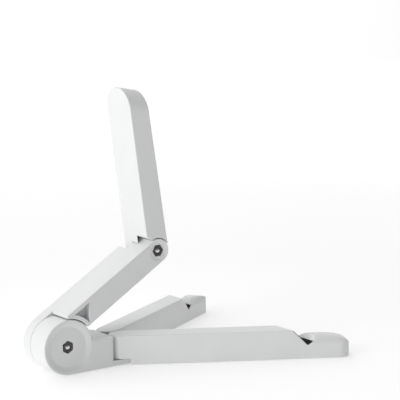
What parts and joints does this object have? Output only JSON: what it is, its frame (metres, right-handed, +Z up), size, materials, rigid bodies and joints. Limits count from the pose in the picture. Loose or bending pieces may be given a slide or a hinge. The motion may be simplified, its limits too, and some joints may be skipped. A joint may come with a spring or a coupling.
{
  "type": "folding tablet stand",
  "caption": "Folding tripod stand: two notched legs swing from a round hub and a jointed arm rises behind to lean a tablet on.",
  "frame": {"origin": "on the floor under the middle of the stand's box, in its pose in use", "axes": "+X across the stand, +Y towards the tablet, +Z up"},
  "size_m": [0.1458, 0.1568, 0.1478],
  "materials": {
    "white_plastic": "white ABS, soft satin sheen with a very fine moulded grain",
    "steel": "zinc-plated steel fasteners, slightly worn on the corners",
    "nylon": "natural nylon friction washers, smooth and waxy",
    "black_rubber": "matt black rubber with a faint moulded texture"
  },
  "bodies": {
    "base": {"base_knuckle": "white_plastic", "knuckle_foot": "black_rubber", "hub_bolt": "steel", "hub_nut": "steel", "hub_flat_washer": "steel", "hub_spring_washer": "steel", "hub_friction_washer": "nylon"},
    "lower_arm": {"lower_arm": "white_plastic", "elbow_bolt": "steel", "elbow_nut": "steel", "elbow_flat_washer": "steel", "elbow_spring_washer": "steel", "elbow_friction_washer": "nylon"},
    "upper_arm": {"upper_arm": "white_plastic", "tablet_rest_pad": "black_rubber"},
    "left_leg": {"left_leg": "white_plastic", "left_notch_liner": "black_rubber", "left_pivot_screw": "steel", "left_pivot_washer": "nylon", "left_rear_foot": "black_rubber", "left_front_foot": "black_rubber"},
    "right_leg": {"right_leg": "white_plastic", "right_notch_liner": "black_rubber", "right_pivot_screw": "steel", "right_pivot_washer": "nylon", "right_rear_foot": "black_rubber", "right_front_foot": "black_rubber"}
  },
  "joints": [
    {"name": "hub_hinge", "type": "hinge", "parent": "base", "child": "lower_arm", "pos_m": [0, -0.06394, 0.01485], "axis": [1, 0, 0], "range_deg": [-31.6, 58.4]},
    {"name": "elbow_hinge", "type": "hinge", "parent": "lower_arm", "child": "upper_arm", "pos_m": [0, -0.00725, 0.05935], "axis": [1, 0, 0], "range_deg": [-65.7, 0]},
    {"name": "left_leg_swing", "type": "hinge", "parent": "base", "child": "left_leg", "pos_m": [-0.0065, -0.02944, 0.003], "axis": [0, 0, 1], "range_deg": [-30.6, 0]},
    {"name": "right_leg_swing", "type": "hinge", "parent": "base", "child": "right_leg", "pos_m": [0.0065, -0.02944, 0.003], "axis": [0, 0, 1], "range_deg": [0, 30.6]}
  ]
}
